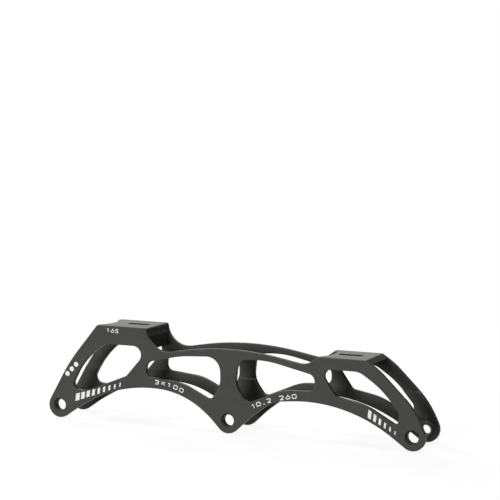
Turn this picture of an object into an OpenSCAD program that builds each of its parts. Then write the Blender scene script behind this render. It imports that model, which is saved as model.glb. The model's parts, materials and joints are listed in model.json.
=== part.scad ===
// Inline skate frame for three large wheels: a machined aluminium channel, bare, without axles or wheels.
// Two side walls carry the axles, two platforms between them take the boot's mounting bolts,
// and the left wall holds the threads that the axles screw into.
// X points forward, Y to the left and Z up. The axle bosses stand on Z = 0.
// Heights in the sections below are measured from the axle line.

/* [Wheels] */
// Diameter of the wheel
wheel_d = 100; // [90:1:104]
// Room between a wheel and the front platform
wheel_gap = 2; // [1:0.5:4]
// Distance from the rear axle to the front axle
wheelbase = 260; // [248:2:276]
// Width of a wheel hub with its bearings
hub_w = 24; // [22:0.5:25]
// Play of a hub between its two pads
hub_play = 0.2; // [0.1:0.1:0.6]

/* [Axle bosses] */
// Radius of the rounded boss round an axle
boss_r = 8.8; // [7.8:0.1:10]
// Diameter of the axle bore in the right wall
axle_d = 8; // [6.5:0.1:9]
// Diameter of the seat for an axle's head
head_d = 10; // [9.2:0.1:12]
// Depth of the seat for an axle's head
head_depth = 1.4; // [0.6:0.1:2.4]
// Radius of a hub pad where it flares into the wall
pad_base_r = 6.4; // [5.6:0.1:7.4]
// Radius of a hub pad where it meets the hub
pad_r = 4.9; // [4.6:0.1:5.5]

/* [Thread inserts] */
// Outer diameter of an insert
insert_d = 8.4; // [7.4:0.1:9]
// Diameter of the threaded hole in an insert
thread_d = 6.2; // [5:0.1:7]

/* [Channel] */
// Width over both side walls
frame_w = 36; // [34:0.5:40]
// Wall thickness above the step on the inside
wall_t = 3.2; // [2.6:0.1:3.6]
// Wall thickness below the step on the inside
lower_wall_t = 3.8; // [3.4:0.1:4.4]
// Height of the step on the inside
step_h = 24.4; // [20:0.2:29]

/* [Platforms] */
// Distance between the middles of the two mounting slots
mount_spacing = 158; // [152:1:166]
// How far the middle of the two slots lies ahead of the middle axle
mount_ahead = 2.5; // [0:0.5:5]
// Length of a mounting slot
slot_l = 17; // [12:0.5:20]
// Width of a mounting slot
slot_w = 6.6; // [5.5:0.1:8.5]
// Height of the rear platform
rear_deck_h = 59; // [56:0.5:64]
// Length of the rear platform
rear_deck_l = 38.5; // [35:0.5:43]
// How far the rear platform reaches ahead of its slot's middle
rear_deck_ahead = 14.5; // [12:0.5:18]
// Thickness of the rear platform
rear_deck_t = 12.4; // [8:0.2:12.4]
// How far the rear platform's front face reaches ahead of its top
rear_deck_lip = 1.3; // [0.6:0.1:4]
// Height of the front platform
front_deck_h = 48.2; // [46:0.2:52]
// Length of the front platform
front_deck_l = 32.5; // [29:0.5:36]
// How far the front platform reaches ahead of its slot's middle
front_deck_ahead = 16; // [13:0.5:18]
// Thickness of the front platform
front_deck_t = 6.4; // [5:0.2:7]
// Depth of the hollow in each platform's rear end
scallop = 4.5; // [2:0.5:6]
// Largest rounding between a platform's underside and the walls
deck_fillet = 3.6; // [1:0.2:4]

/* [Side walls] */
// Height at which the upper rail's two slopes would meet
rail_peak_h = 51.8; // [50:0.2:54]
// Height of the upper rail's rear slope under the rear platform's front end
rail_rear_h = 41; // [39.5:0.5:43]
// Height of the upper rail's front slope at the front platform's foot
rail_front_h = 42; // [40.5:0.5:44]
// Depth of the upper rail above the post
upper_rail = 5.6; // [4:0.2:7.6]
// Width of the post above the middle axle
post_w = 11.2; // [8:0.2:16]
// Depth of the rear wall above the rear window
rear_brow = 13; // [12.8:0.2:16]
// Depth of the front wall above the front window
front_brow = 8; // [7.4:0.2:11]
// Radius of the throat in front of the rear platform
throat_r = 16.5; // [10:0.5:18]
// How far the throat's upper edge leans forward
throat_lean = 2; // [0:0.5:5]

/* [Hidden] */

// Arcs are drawn in short straight steps
arc_angle = 8;
arc_length = 3;
// Cutters reach this far past what they cut
past = 1;
$fn = 64;

body_grey = [0.30, 0.30, 0.29];
steel_grey = [0.62, 0.63, 0.65];

half_w = frame_w / 2;
inner_y = half_w - wall_t;
pad_y = (hub_w + hub_play) / 2;
axle_z = boss_r;

axle_pitch = wheelbase / 2;
rear_x = -axle_pitch;
front_x = axle_pitch;
axle_xs = [rear_x, 0, front_x];

rear_slot_x = mount_ahead - mount_spacing / 2;
front_slot_x = mount_ahead + mount_spacing / 2;
rear_deck_x1 = rear_slot_x + rear_deck_ahead;
rear_deck_x0 = rear_deck_x1 - rear_deck_l;
front_deck_x1 = front_slot_x + front_deck_ahead;
front_deck_x0 = front_deck_x1 - front_deck_l;

// Outlines: a corner is [x, height, radius], and rounded() turns a ring of corners into points.

function unit(v) = v / norm(v);
// An angle brought between -180 and 180 degrees, or between 0 and 360
function within_half_turn(angle) = angle - 360 * round(angle / 360);
function within_turn(angle) = angle - 360 * floor(angle / 360);
function place(corner) = [corner[0], corner[1]];
function last(ring) = ring[len(ring) - 1];
function before(ring, i) = place(ring[(i + len(ring) - 1) % len(ring)]);
function after(ring, i) = place(ring[(i + 1) % len(ring)]);

// Half the angle between the two edges that meet at a corner
function half_angle(ring, i) =
    let (to_before = unit(before(ring, i) - place(ring[i])),
         to_after = unit(after(ring, i) - place(ring[i])))
    acos(max(-1, min(1, to_before * to_after))) / 2;

// Length that a corner's rounding wants along each of its edges
function wanted(ring, i) = ring[i][2] == 0 ? 0 : ring[i][2] / tan(half_angle(ring, i));

// Length that it gets: two roundings on one short edge share it
function share(edge, mine, other) = min(mine, edge * mine / (mine + other));
function reach(ring, i) =
    let (n = len(ring), mine = wanted(ring, i))
    mine == 0 ? 0 : min(
        share(norm(before(ring, i) - place(ring[i])), mine, wanted(ring, (i + n - 1) % n)),
        share(norm(after(ring, i) - place(ring[i])), mine, wanted(ring, (i + 1) % n)));

// Points on an arc from angle start through the angle turn
function arc(centre, radius, start, turn) =
    let (by_angle = abs(turn) / arc_angle,
         by_length = radius * abs(turn) * PI / 180 / arc_length,
         steps = max(1, ceil(max(by_angle, by_length))))
    [for (k = [0:steps]) centre + radius * [cos(start + turn * k / steps), sin(start + turn * k / steps)]];

function corner_points(ring, i) =
    let (tip = place(ring[i]), length = reach(ring, i))
    length == 0 ? [tip] :
    let (half = half_angle(ring, i),
         to_before = unit(before(ring, i) - tip),
         to_after = unit(after(ring, i) - tip),
         radius = length * tan(half),
         centre = tip + unit(to_before + to_after) * radius / sin(half),
         first = tip + to_before * length - centre,
         last = tip + to_after * length - centre,
         start = atan2(first[1], first[0]),
         turn = within_half_turn(atan2(last[1], last[0]) - start))
    arc(centre, radius, start, turn);

function rounded(ring) = [for (i = [0:len(ring) - 1]) each corner_points(ring, i)];

// The lower part of a boss, between the tangents from the corners on either side of it
function tangent_angle(centre, corner, side) =
    let (away = place(corner) - centre)
    atan2(away[1], away[0]) + side * acos(boss_r / norm(away));
function boss(x, from, to) =
    let (start = tangent_angle([x, 0], from, -1),
         end = tangent_angle([x, 0], to, 1),
         turn = within_turn(start - end))
    [for (p = arc([x, 0], boss_r, start, -turn)) [p[0], p[1], 0]];

// Side view of the walls, clockwise from the rear edge

rear_edge = [rear_x + 7.4, 31.6, 124];
rear_top = [
    rear_edge,
    [rear_deck_x0, rear_deck_h, 2],
    [rear_deck_x1, rear_deck_h, 1.6],
    [rear_deck_x1 + throat_lean, rail_rear_h, throat_r]];
rail_peak = [(rear_deck_x1 + front_deck_x0) / 2, rail_peak_h, 200];
front_edge = [front_x + 1.7, 17.8, 64];
front_top = [
    [front_deck_x0 - 9.2, rail_front_h, 12],
    [front_deck_x0, front_deck_h, 1.5],
    [front_deck_x1, front_deck_h, 2.5],
    [front_deck_x1 + 8.9, front_deck_h - 5.6, 60],
    front_edge];
front_arch = [[front_x - 45.2, 20.9, 105], [32.1, 15.5, 27], [14.8, 2.1, 60]];
rear_arch = [[-13.7, 1.5, 60], [-34.2, 17.2, 61], [rear_x + 46.3, 18.1, 101], [rear_x + 15.4, 0.1, 60]];

outline = rounded(concat(
    rear_top,
    [rail_peak],
    front_top,
    boss(front_x, front_edge, front_arch[0]),
    front_arch,
    boss(0, last(front_arch), rear_arch[0]),
    rear_arch,
    boss(rear_x, last(rear_arch), rear_edge)));

rear_window_top = rear_deck_h - rear_brow;
front_window_top = front_deck_h - front_brow;
rail_crest = max([for (p = outline) if (abs(p[0]) < post_w) p[1]]);
post_window_top = rail_crest - upper_rail;

// Windows: under the rear platform, behind and ahead of the post, and under the front platform

rear_window = [
    [rear_x + 7.8, 13.3, 4.5],
    [rear_x + 20.2, 11.4, 15],
    [rear_deck_x1 - 15.5, 24.7, 3],
    [rear_deck_x1 + 2.9, rear_window_top, 6],
    [rear_deck_x0 + 4.8, rear_window_top, 4],
    [rear_x + 26.3, 40.1, 20]];
aft_window = [
    [rear_deck_x1, 25.5, 4.5],
    [rear_deck_x1 + 0.4, rail_rear_h - 5.5, 5],
    [rear_deck_x1 + 26.1, post_window_top - 1.6, 80],
    [-post_w / 2 - 0.9, post_window_top, 10],
    [-post_w / 2 - 0.2, 24.5, 14],
    [-post_w / 2 - 7.2, 12.7, 4],
    [-34.5, 22.9, 36]];
fore_window = [
    [post_w / 2 + 1.4, post_window_top - 1.6, 9],
    [24.8, post_window_top + 0.6, 80],
    [front_deck_x0 - 2.9, rail_front_h - 6.6, 5],
    [front_deck_x0 - 2.8, 24.8, 4.5],
    [39.6, 24, 31],
    [post_w / 2 + 8.2, 12.8, 4.5],
    [post_w / 2 - 0.3, 24.4, 14]];
front_window = [
    [front_deck_x0, front_window_top, 4.5],
    [front_deck_x1 - 4.4, front_window_top, 12],
    [front_x - 21.8, 30.3, 60],
    [front_x - 9.2, 15.4, 4],
    [front_x - 9.8, 6.6, 2.2],
    [front_x - 32.5, 19, 50],
    [front_deck_x0 + 12.4, 22.7, 4]];
windows = [rear_window, aft_window, fore_window, front_window];

// A plate with the given side view, from y0 to y1
module plate(points, y0, y1) {
    translate([0, y1, axle_z])
        rotate([90, 0, 0])
            linear_extrude(y1 - y0)
                polygon(points);
}

// A round bar along Y on an axle
module on_axle(x, y0, y1, r) {
    translate([x, y0, axle_z])
        rotate([-90, 0, 0])
            cylinder(h = y1 - y0, r = r);
}

// A hub pad on the inside of the right wall, with a hollow flare at its foot
module hub_pad(x) {
    foot_y = lower_wall_t - half_w;
    pad_h = -pad_y - foot_y;
    flare_r = min(pad_base_r - pad_r, pad_h);
    translate([x, foot_y, axle_z])
        rotate([-90, 0, 0])
            rotate_extrude()
                polygon(concat(
                    arc([pad_r + flare_r, flare_r], flare_r, 270, -90),
                    [[pad_r, pad_h], [0, pad_h], [0, 0]]));
}

// What is milled off the inside of the right wall above the step, which slopes at 45 degrees
module above_step() {
    length = wheelbase + 2 * (boss_r + past);
    top = rear_deck_h + past;
    thin_y = wall_t - half_w;
    thick_y = lower_wall_t - half_w + past;
    translate([-length / 2, 0, axle_z])
        rotate([90, 0, 90])
            linear_extrude(length)
                polygon([[thin_y, step_h], [thick_y, step_h - (thick_y - thin_y)], [thick_y, top], [thin_y, top]]);
}

// One side wall, outer face at -half_w, with its windows and hub pads but no bores
module wall_blank() {
    difference() {
        plate(outline, -half_w, lower_wall_t - half_w);
        above_step();
        for (window = windows)
            plate(rounded(window), -half_w - past, lower_wall_t - half_w + past);
    }
    for (x = axle_xs)
        hub_pad(x);
}

module right_side_wall() {
    color(body_grey)
        difference() {
            wall_blank();
            for (x = axle_xs) {
                on_axle(x, -half_w - past, past - pad_y, axle_d / 2);
                on_axle(x, -half_w - past, head_depth - half_w, head_d / 2);
            }
        }
}

module left_side_wall() {
    color(body_grey)
        difference() {
            mirror([0, 1, 0]) wall_blank();
            for (x = axle_xs)
                on_axle(x, pad_y - past, half_w + past, insert_d / 2);
        }
}

// End view of a platform: flat underside, rounded into the walls
function deck_section(top, thickness, fillet) =
    let (under = top - thickness,
         right = arc([fillet - inner_y, under - fillet], fillet, 180, -90),
         left = arc([inner_y - fillet, under - fillet], fillet, 90, -90))
    concat(right, left, [[inner_y, top + past], [-inner_y, top + past]]);

// A platform between the walls, cut to their side view, with its hollow rear end and its slot
module deck(x0, x1, top, thickness, fillet, slot_x) {
    scallop_r = (inner_y * inner_y + scallop * scallop) / (2 * scallop);
    slot_run = slot_l - slot_w;
    difference() {
        intersection() {
            plate(outline, -inner_y, inner_y);
            translate([x0, 0, axle_z])
                rotate([90, 0, 90])
                    linear_extrude(x1 - x0)
                        polygon(deck_section(top, thickness, fillet));
        }
        translate([x0 + scallop - scallop_r, 0, 0])
            cylinder(h = axle_z + top + past, r = scallop_r);
        translate([slot_x - slot_run / 2, -slot_w / 2, 0])
            cube([slot_run, slot_w, axle_z + top + past]);
        for (side = [-1, 1])
            translate([slot_x + side * slot_run / 2, 0, 0])
                cylinder(h = axle_z + top + past, d = slot_w);
    }
}

module rear_deck() {
    fillet = min(deck_fillet, rear_brow - rear_deck_t);
    color(body_grey)
        deck(rear_deck_x0, rear_deck_x1 + rear_deck_lip, rear_deck_h, rear_deck_t, fillet, rear_slot_x);
}

module front_deck() {
    fillet = min(deck_fillet, front_brow - front_deck_t);
    clear_r = wheel_d / 2 + wheel_gap;
    color(body_grey)
        difference() {
            deck(front_deck_x0, front_x, front_deck_h, front_deck_t, fillet, front_slot_x);
            on_axle(front_x, -half_w, half_w, clear_r);
        }
}

// Threaded sleeve through the left wall and its hub pad
module thread_insert(x) {
    color(steel_grey)
        difference() {
            on_axle(x, pad_y, half_w, insert_d / 2);
            on_axle(x, pad_y - past, half_w + past, thread_d / 2);
        }
}

module rear_thread_insert() { thread_insert(rear_x); }
module middle_thread_insert() { thread_insert(0); }
module front_thread_insert() { thread_insert(front_x); }

right_side_wall();
left_side_wall();
rear_deck();
front_deck();
rear_thread_insert();
middle_thread_insert();
front_thread_insert();
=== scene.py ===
"""Looks of a bare inline skate frame: a machined aluminium channel in dark grey satin with white prints.

Everything is in metres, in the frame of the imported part: +X forward, +Y left, +Z up.
"""
import json
import math

import bmesh
import bpy
from mathutils import Matrix, Vector


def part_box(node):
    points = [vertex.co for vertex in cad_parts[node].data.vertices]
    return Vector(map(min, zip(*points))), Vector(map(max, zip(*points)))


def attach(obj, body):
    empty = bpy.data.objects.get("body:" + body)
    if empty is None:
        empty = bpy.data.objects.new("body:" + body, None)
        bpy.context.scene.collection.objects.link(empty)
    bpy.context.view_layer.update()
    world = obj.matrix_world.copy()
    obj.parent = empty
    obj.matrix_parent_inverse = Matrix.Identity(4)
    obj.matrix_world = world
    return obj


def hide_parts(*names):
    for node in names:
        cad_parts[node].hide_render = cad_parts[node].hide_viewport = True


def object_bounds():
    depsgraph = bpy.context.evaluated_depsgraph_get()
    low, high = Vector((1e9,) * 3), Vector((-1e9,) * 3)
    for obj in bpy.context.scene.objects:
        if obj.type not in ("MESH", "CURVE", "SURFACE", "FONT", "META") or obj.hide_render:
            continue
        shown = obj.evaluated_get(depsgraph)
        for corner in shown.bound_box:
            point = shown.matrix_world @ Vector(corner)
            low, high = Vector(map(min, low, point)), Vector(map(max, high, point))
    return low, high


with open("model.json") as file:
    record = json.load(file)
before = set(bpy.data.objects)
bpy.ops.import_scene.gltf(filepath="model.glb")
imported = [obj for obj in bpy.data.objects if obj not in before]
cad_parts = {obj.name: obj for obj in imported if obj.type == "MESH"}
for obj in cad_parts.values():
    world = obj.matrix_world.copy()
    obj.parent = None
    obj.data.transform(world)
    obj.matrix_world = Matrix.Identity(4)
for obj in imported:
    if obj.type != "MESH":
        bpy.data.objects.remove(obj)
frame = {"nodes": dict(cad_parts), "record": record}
cad_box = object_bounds()
scene = bpy.context.scene

MM = 0.001
BODY = "root"

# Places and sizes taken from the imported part
mounts = {m["name"]: m for m in frame["record"]["mounts"]}
mount_at = {name: Vector(m["pos_m"]) for name, m in mounts.items()}
AXLES = ("rear", "middle", "front")
AXLE_X = {place: mount_at[place + "_axle_bore"].x for place in AXLES}
AXLE_Z = mount_at["middle_axle_bore"].z
AXLE_R = mounts["middle_axle_bore"]["dims"]["r_mm"] * MM
THREAD_R = mounts["middle_axle_thread"]["dims"]["r_mm"] * MM
SLOT_R = mounts["boot_slots"]["dims"]["hole_r_mm"] * MM
SLOT_RUN = mounts["boot_slots"]["dims"]["slot_length_mm"] * MM - 2 * SLOT_R
OUTER_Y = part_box("left_side_wall")[1].y
PAD_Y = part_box("left_side_wall")[0].y
INNER_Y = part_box("rear_deck")[1].y
INSERT_R = (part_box("middle_thread_insert")[1].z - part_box("middle_thread_insert")[0].z) / 2

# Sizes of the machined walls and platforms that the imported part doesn't name
LOWER_WALL = 3.8 * MM
STEP_H = 24.4 * MM
HEAD_R = 5 * MM
HEAD_DEPTH = 1.4 * MM
PAD_BASE_R = 6.4 * MM
PAD_TIP_R = 4.9 * MM
SCALLOP = 4.5 * MM

# Small shapes that only the visual model has: the front platform's trimmed nose and the rear platform's lip
NOSE_BACK = 1.3 * MM
NOSE_RISE = math.radians(12)
NOSE_REACH = 20 * MM
LIP_DROP = 2.2 * MM
LIP_RUN = 3 * MM

# The rear window's bowed rear jamb, as (x, height above the axles) in mm: an arc and the corner above it
JAMB_ARC = ((-118.1, 19.2), (-110.9, 31), (-94.6, 45.5))
JAMB_CORNER = ((-93.9, 45.86), (-92.9, 46))
JAMB_STEPS = 16

# Broken edges
WALL_ROUND = 0.7 * MM
RIM_STEPS = 4
BREAK = 0.3 * MM
SLOT_BREAK = 0.1 * MM
SHARP_ANGLE = math.radians(40)

# Working distances of the solid cuts
WELD = 2e-6
SKIM = 0.01 * MM
SINK = 1 * MM
PAST = 5 * MM
SEGMENTS = 96

# Camera: where it stands, the way it looks, and its roll
CAMERA_AT = Vector((0.420412, -0.973611, 0.213619))
CAMERA_LOOK = Vector((-0.389121, 0.917287, -0.084672))
CAMERA_ROLL = math.radians(0.68)
CAMERA_LENS = 112.54
SENSOR = 36.0


def new_object(name, bm):
    """A linked object from a mesh, with the faces of a closed one turned outward."""
    bmesh.ops.recalc_face_normals(bm, faces=bm.faces)
    mesh = bpy.data.meshes.new(name)
    bm.to_mesh(mesh)
    bm.free()
    obj = bpy.data.objects.new(name, mesh)
    scene.collection.objects.link(obj)
    return obj


def combine(base, operation, others):
    """Join or cut a solid with others, which are used up."""
    for other in others:
        step = base.modifiers.new(operation, "BOOLEAN")
        step.operation = operation
        step.solver = "MANIFOLD"
        step.object = other
    depsgraph = bpy.context.evaluated_depsgraph_get()
    base.data = bpy.data.meshes.new_from_object(base.evaluated_get(depsgraph))
    base.modifiers.clear()
    for other in others:
        bpy.data.objects.remove(other)
    return base


def mirrored(obj, name):
    """A copy of a solid on the other side of the channel."""
    bm = bmesh.new()
    bm.from_mesh(obj.data)
    bmesh.ops.scale(bm, vec=(1, -1, 1), verts=bm.verts)
    return new_object(name, bm)


def shade(obj):
    """Smooth over the rounded edges, flat on the flat faces and sharp at the corners."""
    for face in obj.data.polygons:
        face.use_smooth = True
    obj.data.set_sharp_from_angle(angle=SHARP_ANGLE)
    normals = obj.modifiers.new("normals", "WEIGHTED_NORMAL")
    normals.keep_sharp = True


def finish_piece(obj, material, replaces=()):
    """Give a piece its material and its body, and hide the CAD nodes that it stands for."""
    obj.data.materials.clear()
    obj.data.materials.append(material)
    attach(obj, BODY)
    if replaces:
        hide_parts(*replaces)


# Outlines: rings of (x, z) points that run with the metal on their left

def area(ring):
    """Area inside a ring, positive where it runs anticlockwise."""
    return sum(a.cross(b) for a, b in zip(ring[-1:] + ring[:-1], ring)) / 2


def face_rings(node, y):
    """The rings round a node's flat faces at the given Y, the largest first, with the rest as its holes."""
    bm = bmesh.new()
    bm.from_mesh(frame["nodes"][node].data)
    bmesh.ops.remove_doubles(bm, verts=bm.verts, dist=WELD)
    bm.verts.index_update()
    flat = {f.index for f in bm.faces if all(abs(v.co.y - y) < WELD for v in f.verts)}
    beside = {}
    for edge in bm.edges:
        if sum(f.index in flat for f in edge.link_faces) == 1:
            for v in edge.verts:
                beside.setdefault(v.index, []).append(edge.other_vert(v).index)
    bm.verts.ensure_lookup_table()
    rings = []
    while beside:
        here = min(beside)
        ring = []
        while here in beside:
            ring.append(Vector((bm.verts[here].co.x, bm.verts[here].co.z)))
            ahead = beside.pop(here)
            here = next((v for v in ahead if v in beside), None)
        rings.append(ring)
    bm.free()
    rings.sort(key=lambda ring: -abs(area(ring)))
    outside_turn = 1
    turned = []
    for ring in rings:
        turned.append(ring if area(ring) * outside_turn > 0 else ring[::-1])
        outside_turn = -1
    return turned


def left_of(a, b):
    """The unit vector to the left of the way from a to b."""
    along = (b - a).normalized()
    return Vector((-along.y, along.x))


def inset(ring, distance):
    """The ring moved into the metal by a distance."""
    moved = []
    for before, here, after in zip(ring[-1:] + ring[:-1], ring, ring[1:] + ring[:1]):
        m = left_of(before, here)
        n = left_of(here, after)
        moved.append(here + (m + n) * distance / (1 + m.dot(n)))
    return moved


def arc_places(first, between, last, count):
    """Evenly spaced (point, direction) places on the arc through three points, which are in mm."""
    a, b, c = [Vector(p) * MM for p in (first, between, last)]
    d = 2 * (a.x * (b.y - c.y) + b.x * (c.y - a.y) + c.x * (a.y - b.y))
    sums = [p.length_squared for p in (a, b, c)]
    centre = Vector((
        (sums[0] * (b.y - c.y) + sums[1] * (c.y - a.y) + sums[2] * (a.y - b.y)) / d,
        (sums[0] * (c.x - b.x) + sums[1] * (a.x - c.x) + sums[2] * (b.x - a.x)) / d))
    start = a - centre
    turn = -start.angle_signed(c - centre)
    places = []
    for k in range(count):
        spoke = Matrix.Rotation(turn * k / (count - 1), 2) @ start
        along = Vector((-spoke.y, spoke.x)).normalized() * math.copysign(1, turn)
        places.append((centre + spoke, along))
    return places


# Solids built from rings

def full_turn(count):
    """Angles evenly round a circle."""
    return [2 * math.pi * k / count for k in range(count)]


def quarter_turn(steps):
    """Angles from 0 to a right angle."""
    return [math.pi / 2 * k / steps for k in range(steps + 1)]


def stacked(name, layers):
    """A closed solid through layers of rings: a layer's first ring is outside, the rest are holes."""
    bm = bmesh.new()
    made = [[[bm.verts.new(p) for p in ring] for ring in layer] for layer in layers]
    for low, high in zip(made, made[1:]):
        for a, b in zip(low, high):
            for i in range(len(a)):
                bm.faces.new((a[i - 1], a[i], b[i], b[i - 1]))
    for layer in (made[0], made[-1]):
        edges = [bm.edges.get((ring[i - 1], ring[i])) for ring in layer for i in range(len(ring))]
        bmesh.ops.triangle_fill(bm, use_beauty=True, edges=edges)
    return new_object(name, bm)


def plate(name, rings, levels):
    """A plate along Y with (x, z) rings; a level is its Y and how far its rings go into the metal."""
    return stacked(name, [
        [[(p.x, y, p.y) for p in inset(ring, shift)] for ring in rings]
        for y, shift in levels])


def rounded_levels(y0, y1, radius):
    """Levels of a plate from face y0 to face y1, with both rims rounded."""
    rim = [(radius * (1 - math.cos(t)), radius * (1 - math.sin(t))) for t in quarter_turn(RIM_STEPS)]
    first = [(y0 + depth, shift) for depth, shift in rim]
    last = [(y1 - depth, shift) for depth, shift in rim[::-1]]
    return first + last


def revolved(name, x, profile):
    """A solid turned about an axle from (radius, y) points that start and end on the axis."""
    bm = bmesh.new()
    rings = []
    for radius, y in profile:
        turns = full_turn(SEGMENTS) if radius else [0]
        points = [(x + radius * math.cos(t), y, AXLE_Z + radius * math.sin(t)) for t in turns]
        rings.append([bm.verts.new(p) for p in points])
    for a, b in zip(rings, rings[1:]):
        for i in range(SEGMENTS):
            j = (i + 1) % SEGMENTS
            corners = [a[i % len(a)], a[j % len(a)], b[j % len(b)], b[i % len(b)]]
            bm.faces.new(list(dict.fromkeys(corners)))
    return new_object(name, bm)


# Body: one continuous skin over the walls and platforms, with softly broken edges

FRAME_NODES = ["right_side_wall", "left_side_wall", "rear_deck", "front_deck"]
WINDOW_AREA = 200 * MM * MM
FLARE_STEPS = 8
SLOT_STEPS = 24


def pad(x):
    """The raised pad that a wheel hub meets, with a hollow flare into the left wall."""
    root_y = OUTER_Y - LOWER_WALL
    flare = PAD_BASE_R - PAD_TIP_R
    turns = quarter_turn(FLARE_STEPS)
    hollow = [(PAD_BASE_R - flare * math.sin(t), root_y - flare * (1 - math.cos(t))) for t in turns]
    foot = [(0, root_y + SINK), (PAD_BASE_R, root_y + SINK)]
    tip = [(PAD_TIP_R, PAD_Y + BREAK), (PAD_TIP_R - BREAK, PAD_Y), (0, PAD_Y)]
    return revolved("pad", x, foot + hollow + tip)


def above_step():
    """What is milled off the inside of the left wall above the step, which slopes at 45 degrees."""
    thick_y = OUTER_Y - LOWER_WALL - PAST
    thin_y = INNER_Y + SINK
    step_z = AXLE_Z + STEP_H
    top = cad_box[1].z + PAST
    slope_foot = (thick_y, step_z - (INNER_Y - thick_y))
    section = [(thin_y, step_z + SINK), slope_foot, (thick_y, top), (thin_y, top)]
    ends = (cad_box[0].x - PAST, cad_box[1].x + PAST)
    return stacked("above_step", [[[(x, y, z) for y, z in section]] for x in ends])


def bowed(ring):
    """The rear window's ring with its straight rear jamb bowed along the arc."""
    axle_level = Vector((0, AXLE_Z))
    jamb = [point + axle_level for point, _ in arc_places(*JAMB_ARC, JAMB_STEPS)]
    jamb += [Vector(point) * MM + axle_level for point in JAMB_CORNER]
    straight = [p.x < jamb[-1].x and p.y > jamb[0].y - SKIM for p in ring]
    first = next(i for i in range(len(ring)) if straight[i - 1] and not straight[i])
    kept = [i % len(ring) for i in range(first, first + len(ring))]
    return [ring[i] for i in kept if not straight[i]] + jamb


def bare_wall(name):
    """The left wall without its bores: a plate, thicker below the step, with a pad at each axle."""
    rings = [r for r in face_rings("left_side_wall", OUTER_Y) if abs(area(r)) > WINDOW_AREA]
    rear_window = min(rings[1:], key=lambda ring: min(p.x for p in ring))
    rings[rings.index(rear_window)] = bowed(rear_window)
    wall = plate(name, rings, rounded_levels(INNER_Y, OUTER_Y, WALL_ROUND))
    lower = plate("lower", [inset(r, SKIM) for r in rings],
                  rounded_levels(OUTER_Y - LOWER_WALL, INNER_Y + SINK, WALL_ROUND))
    combine(lower, "DIFFERENCE", [above_step()])
    return combine(wall, "UNION", [lower] + [pad(x) for x in AXLE_X.values()])


def head_bore(x):
    """Cutter for an axle's bore in the right wall, with the seat of its head and broken rims."""
    seat = HEAD_DEPTH - OUTER_Y
    outside = -OUTER_Y - PAST
    inside = PAST - PAD_Y
    return revolved("bore", x, [
        (0, outside), (HEAD_R + BREAK + PAST, outside), (HEAD_R, BREAK - OUTER_Y), (HEAD_R, seat),
        (AXLE_R, seat), (AXLE_R, -PAD_Y - BREAK), (AXLE_R + BREAK + PAST, inside), (0, inside)])


def insert_bore(x):
    """Cutter for the seat of a thread insert in the left wall, with broken rims."""
    rim = INSERT_R + BREAK / 2
    return revolved("seat", x, [
        (0, PAD_Y - PAST), (rim + PAST, PAD_Y - PAST), (INSERT_R, PAD_Y + BREAK / 2),
        (INSERT_R, OUTER_Y - BREAK / 2), (rim + PAST, OUTER_Y + PAST), (0, OUTER_Y + PAST)])


def slot_ring(x, radius):
    """Ring of (x, y) points round a lengthwise slot."""
    turns = [math.pi * k / SLOT_STEPS - math.pi / 2 for k in range(SLOT_STEPS + 1)]
    ahead = [(x + SLOT_RUN / 2 + radius * math.cos(t), radius * math.sin(t)) for t in turns]
    behind = [(x - SLOT_RUN / 2 - radius * math.cos(t), -radius * math.sin(t)) for t in turns]
    return ahead + behind


def scallop_ring(x, radius):
    """Ring of (x, y) points round the cylinder that scoops out a platform's rear end."""
    return [(x + radius * math.cos(t), radius * math.sin(t)) for t in full_turn(SEGMENTS)]


def rim_break(name, ring_at, x, radius, top):
    """Cutter that breaks the upper rim of an upright cut of the given radius."""
    levels = [(top - SLOT_BREAK - SKIM, radius - SKIM), (top + PAST, radius + SLOT_BREAK + PAST)]
    return stacked(name, [[[(px, py, z) for px, py in ring_at(x, r)]] for z, r in levels])


def deck(node, mount, slot_x):
    """A platform, run a little way into the walls so that no seam shows, with its cuts' rims broken."""
    bm = bmesh.new()
    bm.from_mesh(frame["nodes"][node].data)
    bmesh.ops.remove_doubles(bm, verts=bm.verts, dist=WELD)
    for v in bm.verts:
        if abs(abs(v.co.y) - INNER_Y) < WELD:
            v.co.y += math.copysign(SINK, v.co.y)
    skin = new_object(node + "_skin", bm)
    top = mount_at[mount].z
    scallop_r = (INNER_Y ** 2 + SCALLOP ** 2) / (2 * SCALLOP)
    scallop_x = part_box(node)[0].x + SCALLOP - scallop_r
    return combine(skin, "DIFFERENCE", [
        rim_break("slot_rim", slot_ring, slot_x, SLOT_R, top),
        rim_break("scallop_rim", scallop_ring, scallop_x, scallop_r, top)])


def nose_cut(node):
    """Cutter that takes the thin nose off a platform's front end, from below, at a slope."""
    tip = max((v.co for v in frame["nodes"][node].data.vertices), key=lambda p: p.x)
    slope = Vector((math.cos(NOSE_RISE), math.sin(NOSE_RISE)))
    edge = Vector((tip.x, tip.z)) - left_of(Vector((0, 0)), -slope) * NOSE_BACK
    foot = edge - slope * NOSE_REACH
    over = edge + slope * PAST
    ahead = tip.x + PAST
    section = [foot, Vector((ahead, foot.y)), Vector((ahead, over.y)), over]
    return stacked("nose", [[[(p.x, y, p.y) for p in section]] for y in (-OUTER_Y, OUTER_Y)])


def front_lip(node):
    """A lip that hangs under a platform's front end, from wall to wall, with a sloping back."""
    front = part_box(node)[1].x
    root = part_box(node)[0].z + SINK
    foot = root - SINK - LIP_DROP
    back = front - LIP_RUN
    section = [(front, root), (back - (root - foot), root), (back, foot), (front, foot)]
    ends = (-INNER_Y - SINK, INNER_Y + SINK)
    return stacked("lip", [[[(x, y, z) for x, z in section]] for y in ends])


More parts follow.
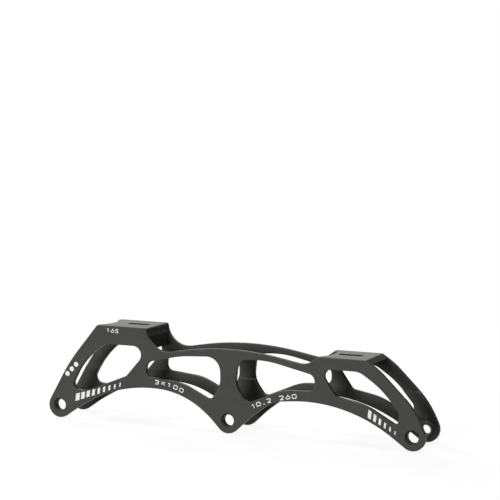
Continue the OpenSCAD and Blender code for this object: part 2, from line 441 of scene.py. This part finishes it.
def body_skin():
    """The walls and platforms as one solid."""
    half_spacing = mounts["boot_slots"]["dims"]["spacing_x_mm"] * MM / 2
    slots_x = mount_at["boot_slots"].x
    left = bare_wall("left_wall")
    skin = mirrored(left, "frame_body")
    combine(skin, "DIFFERENCE", [head_bore(x) for x in AXLE_X.values()])
    combine(left, "DIFFERENCE", [insert_bore(x) for x in AXLE_X.values()])
    rear_deck = deck("rear_deck", "rear_platform", slots_x - half_spacing)
    front_deck = deck("front_deck", "front_platform", slots_x + half_spacing)
    combine(front_deck, "DIFFERENCE", [nose_cut("front_deck")])
    combine(rear_deck, "UNION", [front_lip("rear_deck")])
    combine(skin, "UNION", [left, rear_deck, front_deck])
    shade(skin)
    return skin


# Thread inserts: turned sleeves with a cut thread

THREAD_PITCH = 1 * MM
THREAD_DEPTH = 0.42 * MM
THREAD_FLAT = 0.12
THREAD_MOUTH = 0.5 * MM
ROWS_PER_PITCH = 8
INSERT_PLAY = 0.02 * MM


def thread_radius(turn, y):
    """Radius of the threaded hole at a turn (radians) and a depth Y."""
    phase = (y / THREAD_PITCH + turn / (2 * math.pi)) % 1
    flank = 1 - abs(2 * phase - 1)
    cut = min(1, max(0, (flank - THREAD_FLAT) / (1 - 2 * THREAD_FLAT)))
    mouth = THREAD_MOUTH - min(y - PAD_Y, OUTER_Y - y)
    return THREAD_R + max(cut * THREAD_DEPTH, mouth)


def thread_insert(place):
    """The threaded sleeve of one axle."""
    rows = round((OUTER_Y - PAD_Y) / THREAD_PITCH * ROWS_PER_PITCH)
    depths = [PAD_Y + (OUTER_Y - PAD_Y) * row / rows for row in range(rows + 1)]
    r = INSERT_R - INSERT_PLAY
    outside = [(r - BREAK, OUTER_Y), (r, OUTER_Y - BREAK), (r, PAD_Y + BREAK), (r - BREAK, PAD_Y)]
    bm = bmesh.new()
    columns = []
    middle = Vector((AXLE_X[place], 0, AXLE_Z))
    for turn in full_turn(SEGMENTS):
        ray = Vector((math.cos(turn), 0, math.sin(turn)))
        profile = [(thread_radius(turn, y), y) for y in depths] + outside
        columns.append([bm.verts.new(middle + ray * radius + Vector((0, y, 0))) for radius, y in profile])
    for k in range(SEGMENTS):
        a = columns[k - 1]
        b = columns[k]
        for i in range(len(a)):
            bm.faces.new((a[i - 1], a[i], b[i], b[i - 1]))
    insert = new_object(place + "_threaded_sleeve", bm)
    shade(insert)
    return insert


# Prints on the right wall: plain numbers, dots and bars, as thin as paint

PRINT_T = 0.03 * MM
PRINT_ROOT = 0.05 * MM
CORNER = 0.16
DOT_STEPS = 40

# Strokes of each figure in a box one wide and one high
FIGURES = {
    "0": [[(0, 0), (1, 0), (1, 1), (0, 1), (0, 0)]],
    "1": [[(0.15, 0.78), (0.55, 1), (0.55, 0)]],
    "2": [[(0, 1), (1, 1), (1, 0.52), (0.08, 0.06)], [(0, 0), (1, 0)]],
    "3": [[(0, 1), (1, 1), (1, 0), (0, 0)], [(0.3, 0.52), (0.95, 0.52)]],
    "5": [[(1, 1), (0, 1), (0, 0.55), (1, 0.55), (1, 0), (0, 0)]],
    "6": [[(0, 0), (1, 0), (1, 0.62), (0, 0.62), (0, 0)], [(0.72, 1.08), (0.04, 0.42)]],
    "x": [[(0, 0.1), (1, 0.9)], [(0, 0.9), (1, 0.1)]],
    ".": [[(0.35, 0.05), (0.65, 0.05)]],
}


def on_wall(*rings):
    """Thin paint over rings of (x, height above the axles) points on the right wall."""
    near = -OUTER_Y - PRINT_T
    root = -OUTER_Y + PRINT_ROOT
    return stacked("print", [
        [[(p.x, y, AXLE_Z + p.y) for p in ring] for ring in rings]
        for y in (root, near)])


def joined(name, pieces):
    """One object from several solids that stay apart."""
    bm = bmesh.new()
    for piece in pieces:
        bm.from_mesh(piece.data)
        bpy.data.objects.remove(piece)
    return new_object(name, bm)


def softened(points, cut):
    """A line with its inner corners cut off, and whether it is closed, so that it ends where it starts."""
    closed = points[0] == points[-1]
    if closed:
        points = points[:-1]
    soft = []
    for i, here in enumerate(points):
        if not closed and i in (0, len(points) - 1):
            soft.append(here)
            continue
        for other in (points[i - 1], points[(i + 1) % len(points)]):
            soft.append(here + (other - here).normalized() * cut)
    return soft, closed


def stroke_rings(points, closed, stroke):
    """Rings round a line drawn with a stroke of the given width."""
    half = stroke / 2
    if closed:
        return [inset(points, -half), inset(points, half)]
    sides = []
    for sign in (1, -1):
        side = []
        for i, here in enumerate(points):
            m = left_of(points[max(i - 1, 0)], points[max(i, 1)])
            n = left_of(points[min(i, len(points) - 2)], points[min(i + 1, len(points) - 1)])
            side.append(here + (m + n) * sign * half / (1 + m.dot(n)))
        sides.append(side)
    return [sides[0] + sides[1][::-1]]


def figure(character, middle, along, width, height, stroke):
    """The paint of one figure, centred on a point of the wall and level with a direction."""
    across = Vector((-along.y, along.x))
    pieces = []
    for points in FIGURES[character]:
        sized = [Vector(((px - 0.5) * width, (py - 0.5) * height)) for px, py in points]
        rings = stroke_rings(*softened(sized, CORNER * width), stroke)
        pieces.append(on_wall(*[[middle + along * p.x + across * p.y for p in ring] for ring in rings]))
    return pieces


def number(name, text, arc, width, height, stroke):
    """A number whose figures follow the arc through three points, with all sizes in mm."""
    pieces = []
    for character, (middle, along) in zip(text, arc_places(*arc, len(text))):
        pieces += figure(character, middle, along, width * MM, height * MM, stroke * MM)
    return joined(name, pieces)


def dots(name, centres, radius):
    """Round dots on the wall, with all sizes in mm."""
    ring = [Vector((math.cos(t), math.sin(t))) * radius * MM for t in full_turn(DOT_STEPS)]
    return joined(name, [on_wall([Vector(centre) * MM + p for p in ring]) for centre in centres])


def bars(name, first, last, count, heights, widths, slant):
    """A row of slanted bars that shrink from the first point to the last, with all sizes in mm."""
    first = Vector(first) * MM
    last = Vector(last) * MM
    along = (last - first).normalized()
    across = Matrix.Rotation(-slant, 2) @ Vector((-along.y, along.x))
    pieces = []
    for k in range(count):
        t = k / (count - 1)
        middle = first.lerp(last, t)
        side = along * (widths[0] + (widths[1] - widths[0]) * t) / 2 * MM
        rise = across * (heights[0] + (heights[1] - heights[0]) * t) / 2 * MM
        foot = [middle - side - rise, middle + side - rise]
        head = [middle + side + rise, middle - side + rise]
        pieces.append(on_wall(foot + head))
    return joined(name, pieces)


def prints():
    """All marks on the right wall, placed by (x, height above the axles) in mm."""
    return [
        number("mount_number", "165", ((-91.6, 55.9), (-88.1, 55.75), (-84.8, 55.6)),
               width=2.05, height=2.3, stroke=0.48),
        number("wheel_number", "3x100", ((-53.5, 22.2), (-44.2, 21.1), (-34.7, 18.1)),
               width=2.7, height=2.5, stroke=0.58),
        number("inch_number", "10.2", ((18.9, 11.6), (24.6, 14.1), (29.9, 16.2)),
               width=2.7, height=2.5, stroke=0.58),
        number("wheelbase_number", "260", ((39, 18.8), (43.6, 19.75), (48.1, 20.5)),
               width=2.8, height=2.5, stroke=0.58),
        dots("rear_dots", [(-116.9, 30), (-120.4, 26.5), (-123.8, 23)], radius=1.75),
        bars("rear_bars", (-115.5, 7), (-82, 18.1), count=9,
             heights=(5.2, 2.9), widths=(3.4, 0.9), slant=math.radians(24)),
        bars("front_bars", (101, 12.9), (118.5, 2.4), count=6,
             heights=(5.2, 2.4), widths=(2.6, 0.8), slant=math.radians(-24)),
    ]


# Materials: a bump is its strength and its depth

NOISE_SPREAD = (0.3, 0.7)
FINE_DETAIL = 3
SATIN_DARK = (0.056, 0.056, 0.0535)
SATIN_LIGHT = (0.064, 0.064, 0.061)
SATIN_ROUGH = (0.28, 0.36)
SATIN_SPECULAR = 0.12
SATIN_SHEEN = (1, 1, 0.9, 1)
SATIN_GRAIN = 0.16 * MM
SATIN_CLOUDS = 14 * MM
SATIN_BUMP = (0.15, 0.02 * MM)
STEEL_DARK = (0.16, 0.16, 0.16)
STEEL_LIGHT = (0.24, 0.24, 0.235)
STEEL_ROUGH = (0.28, 0.42)
STEEL_GRAIN = 0.3 * MM
STEEL_MARKS = 3 * MM
STEEL_WAVER = 0.6
STEEL_BUMP = (0.2, 0.01 * MM)
INK_DARK = (0.80, 0.80, 0.79)
INK_LIGHT = (0.88, 0.88, 0.87)
INK_ROUGH = (0.45, 0.6)
INK_MOTTLE = 0.25 * MM
INK_BUMP = (0.1, 0.01 * MM)


def new_material(name):
    """A material with its node tree and its shader."""
    mat = bpy.data.materials.new(name)
    mat.use_nodes = True
    return mat, mat.node_tree, mat.node_tree.nodes["Principled BSDF"]


def noise(tree, size, detail=2.0):
    """Noise in object space with features of the given size."""
    place = tree.nodes.new("ShaderNodeTexCoord")
    texture = tree.nodes.new("ShaderNodeTexNoise")
    texture.inputs["Scale"].default_value = 1 / size
    texture.inputs["Detail"].default_value = detail
    tree.links.new(place.outputs["Object"], texture.inputs["Vector"])
    return texture.outputs["Fac"]


def ranged(tree, value, low, high):
    """A noise value spread over a range."""
    node = tree.nodes.new("ShaderNodeMapRange")
    node.inputs["From Min"].default_value = NOISE_SPREAD[0]
    node.inputs["From Max"].default_value = NOISE_SPREAD[1]
    node.inputs["To Min"].default_value = low
    node.inputs["To Max"].default_value = high
    tree.links.new(value, node.inputs["Value"])
    return node.outputs["Result"]


def mixed(tree, factor, low, high):
    """A colour between two, by a factor."""
    node = tree.nodes.new("ShaderNodeMixRGB")
    node.inputs["Color1"].default_value = (*low, 1)
    node.inputs["Color2"].default_value = (*high, 1)
    tree.links.new(factor, node.inputs["Fac"])
    return node.outputs["Color"]


def math_node(tree, operation, *values):
    """The result of a math node that is fed by sockets or plain numbers."""
    node = tree.nodes.new("ShaderNodeMath")
    node.operation = operation
    for socket, value in zip(node.inputs, values):
        if isinstance(value, bpy.types.NodeSocket):
            tree.links.new(value, socket)
        else:
            socket.default_value = value
    return node.outputs[0]


def bump(tree, shader, height, strength, distance):
    """Raise a shader's surface by a height."""
    node = tree.nodes.new("ShaderNodeBump")
    node.inputs["Strength"].default_value = strength
    node.inputs["Distance"].default_value = distance
    tree.links.new(height, node.inputs["Height"])
    tree.links.new(node.outputs["Normal"], shader.inputs["Normal"])


def grey_satin():
    """Bead-blasted, dark anodised aluminium: fine grain and faint clouds."""
    mat, tree, shader = new_material("grey_satin")
    grain = noise(tree, SATIN_GRAIN, FINE_DETAIL)
    clouds = noise(tree, SATIN_CLOUDS, FINE_DETAIL)
    colour = mixed(tree, ranged(tree, clouds, 0, 1), SATIN_DARK, SATIN_LIGHT)
    tree.links.new(colour, shader.inputs["Base Color"])
    tree.links.new(ranged(tree, grain, *SATIN_ROUGH), shader.inputs["Roughness"])
    shader.inputs["Specular IOR Level"].default_value = SATIN_SPECULAR
    shader.inputs["Specular Tint"].default_value = SATIN_SHEEN
    bump(tree, shader, grain, *SATIN_BUMP)
    return mat


def turned_steel():
    """Dark steel with fine turning marks round each axle."""
    mat, tree, shader = new_material("turned_steel")
    place = tree.nodes.new("ShaderNodeTexCoord")
    split = tree.nodes.new("ShaderNodeSeparateXYZ")
    tree.links.new(place.outputs["Object"], split.inputs["Vector"])
    half_pitch = (AXLE_X["front"] - AXLE_X["middle"]) / 2
    from_axle = math_node(tree, "WRAP", split.outputs["X"], half_pitch, -half_pitch)
    above_axle = math_node(tree, "SUBTRACT", split.outputs["Z"], AXLE_Z)
    centred = tree.nodes.new("ShaderNodeCombineXYZ")
    tree.links.new(from_axle, centred.inputs["X"])
    tree.links.new(above_axle, centred.inputs["Z"])
    rings = tree.nodes.new("ShaderNodeTexWave")
    rings.wave_type = "RINGS"
    rings.rings_direction = "Y"
    rings.inputs["Scale"].default_value = 1 / STEEL_MARKS
    rings.inputs["Distortion"].default_value = STEEL_WAVER
    tree.links.new(centred.outputs["Vector"], rings.inputs["Vector"])
    colour = mixed(tree, rings.outputs["Fac"], STEEL_DARK, STEEL_LIGHT)
    tree.links.new(colour, shader.inputs["Base Color"])
    tree.links.new(ranged(tree, noise(tree, STEEL_GRAIN), *STEEL_ROUGH), shader.inputs["Roughness"])
    shader.inputs["Metallic"].default_value = 1
    bump(tree, shader, rings.outputs["Fac"], *STEEL_BUMP)
    return mat


def white_print():
    """Screen-printed white ink with a fine mottle."""
    mat, tree, shader = new_material("white_print")
    mottle = noise(tree, INK_MOTTLE, FINE_DETAIL)
    colour = mixed(tree, ranged(tree, mottle, 0, 1), INK_DARK, INK_LIGHT)
    tree.links.new(colour, shader.inputs["Base Color"])
    tree.links.new(ranged(tree, mottle, *INK_ROUGH), shader.inputs["Roughness"])
    bump(tree, shader, mottle, *INK_BUMP)
    return mat


satin = grey_satin()
steel = turned_steel()
ink = white_print()
finish_piece(body_skin(), satin, FRAME_NODES)
for axle in AXLES:
    finish_piece(thread_insert(axle), steel, [axle + "_thread_insert"])
for mark in prints():
    finish_piece(mark, ink)


# Camera

def make_camera():
    """A camera at the photo's viewing angle."""
    data = bpy.data.cameras.new("camera")
    data.lens = CAMERA_LENS
    data.sensor_width = SENSOR
    camera = bpy.data.objects.new("camera", data)
    scene.collection.objects.link(camera)
    turn = CAMERA_LOOK.to_track_quat("-Z", "Y").to_matrix() @ Matrix.Rotation(CAMERA_ROLL, 3, "Z")
    camera.matrix_world = Matrix.Translation(CAMERA_AT) @ turn.to_4x4()
    return camera


scene.camera = make_camera()
scene.view_settings.view_transform = "Standard"

# Stage and light

FLOOR_SIZE = 8
FLOOR_BOUNCE = 0.12
FLOOR_SEEN = 1.0
FLOOR_WHITE = 0.88
SHADOW_REACH = (0.2, 0.6)
BACKDROP = 1.0
SKY_FILL = 0.08
LAMP_REACH = 1.6
LAMP_SIZE = 0.6

# Lamps: azimuth and elevation in degrees, watts, and whether the lamp shows in highlights
KEY = (260, 10, 22, False)
TOP = (200, 80, 14, True)
RIM = (140, 30, 22, False)

# Black cards: the two ends of the foot, and the height
TALL_FLAG = (Vector((0.25, 0.2, 0)), Vector((0.03, 0.4, 0)), 0.25)
LOW_FLAG = (Vector((0.22, 0.14, 0)), Vector((-0.03, 0.28, 0)), 0.055)
FLAG_BLACK = (0.01, 0.01, 0.01, 1)


def seen_directly(tree):
    """1 on rays from the camera, and on those that metal mirrors or glass lets through."""
    path = tree.nodes.new("ShaderNodeLightPath")
    seen = path.outputs["Is Camera Ray"]
    for other in ("Is Glossy Ray", "Is Transmission Ray"):
        seen = math_node(tree, "MAXIMUM", seen, path.outputs[other])
    return seen


def white_floor():
    """White where it is seen, with a faint shadow round the object; grey in the light it throws back."""
    mat = bpy.data.materials.new("white_floor")
    mat.use_nodes = True
    tree = mat.node_tree
    tree.nodes.remove(tree.nodes["Principled BSDF"])
    seen = seen_directly(tree)
    matt = tree.nodes.new("ShaderNodeBsdfDiffuse")
    tree.links.new(mixed(tree, seen, [FLOOR_BOUNCE] * 3, [FLOOR_SEEN] * 3), matt.inputs["Color"])
    white = tree.nodes.new("ShaderNodeEmission")
    white.inputs["Strength"].default_value = BACKDROP
    place = tree.nodes.new("ShaderNodeTexCoord")
    away = tree.nodes.new("ShaderNodeVectorMath")
    away.operation = "LENGTH"
    tree.links.new(place.outputs["Object"], away.inputs[0])
    whiter = tree.nodes.new("ShaderNodeMapRange")
    whiter.inputs["From Min"].default_value = SHADOW_REACH[0]
    whiter.inputs["From Max"].default_value = SHADOW_REACH[1]
    whiter.inputs["To Min"].default_value = FLOOR_WHITE
    tree.links.new(away.outputs["Value"], whiter.inputs["Value"])
    share = math_node(tree, "MULTIPLY", seen, whiter.outputs["Result"])
    both = tree.nodes.new("ShaderNodeMixShader")
    tree.links.new(share, both.inputs["Fac"])
    tree.links.new(matt.outputs["BSDF"], both.inputs[1])
    tree.links.new(white.outputs["Emission"], both.inputs[2])
    tree.links.new(both.outputs["Shader"], tree.nodes["Material Output"].inputs["Surface"])
    return mat


def make_floor():
    bm = bmesh.new()
    bmesh.ops.create_grid(bm, x_segments=1, y_segments=1, size=FLOOR_SIZE / 2)
    floor = new_object("floor", bm)
    floor.data.materials.append(white_floor())


def black_cloth():
    mat, _, shader = new_material("black_cloth")
    shader.inputs["Base Color"].default_value = FLAG_BLACK
    shader.inputs["Roughness"].default_value = 1
    return mat


def make_flag(name, start, end, height, cloth):
    """A black card off camera, ahead of the object and behind it, that keeps its forward faces dark."""
    rise = Vector((0, 0, height))
    bm = bmesh.new()
    bm.faces.new([bm.verts.new(corner) for corner in (start, end, end + rise, start + rise)])
    flag = new_object(name, bm)
    flag.data.materials.append(cloth)
    flag.visible_camera = False
    flag.visible_shadow = False


def make_lamp(name, azimuth, elevation, watts, glints):
    """A soft square lamp aimed at the object's middle; it shows in highlights only if it glints."""
    middle = (cad_box[0] + cad_box[1]) / 2
    around = Matrix.Rotation(math.radians(azimuth), 3, "Z")
    upward = Matrix.Rotation(-math.radians(elevation), 3, "Y")
    toward = around @ upward @ Vector((1, 0, 0))
    data = bpy.data.lights.new(name, "AREA")
    data.size = LAMP_SIZE
    data.energy = watts
    lamp = bpy.data.objects.new(name, data)
    lamp.location = middle + toward * LAMP_REACH
    lamp.rotation_euler = toward.to_track_quat("Z", "Y").to_euler()
    lamp.visible_glossy = glints
    scene.collection.objects.link(lamp)


def make_sky():
    """A low even fill, and a white backdrop where it is seen."""
    world = bpy.data.worlds.new("studio")
    scene.world = world
    world.use_nodes = True
    tree = world.node_tree
    strength = tree.nodes.new("ShaderNodeMix")
    strength.inputs["A"].default_value = SKY_FILL
    strength.inputs["B"].default_value = BACKDROP
    tree.links.new(seen_directly(tree), strength.inputs["Factor"])
    background = tree.nodes["Background"]
    background.inputs["Color"].default_value = (1, 1, 1, 1)
    tree.links.new(strength.outputs["Result"], background.inputs["Strength"])


make_floor()
cloth = black_cloth()
make_flag("tall_flag", *TALL_FLAG, cloth)
make_flag("low_flag", *LOW_FLAG, cloth)
make_lamp("key", *KEY)
make_lamp("top", *TOP)
make_lamp("rim", *RIM)
make_sky()
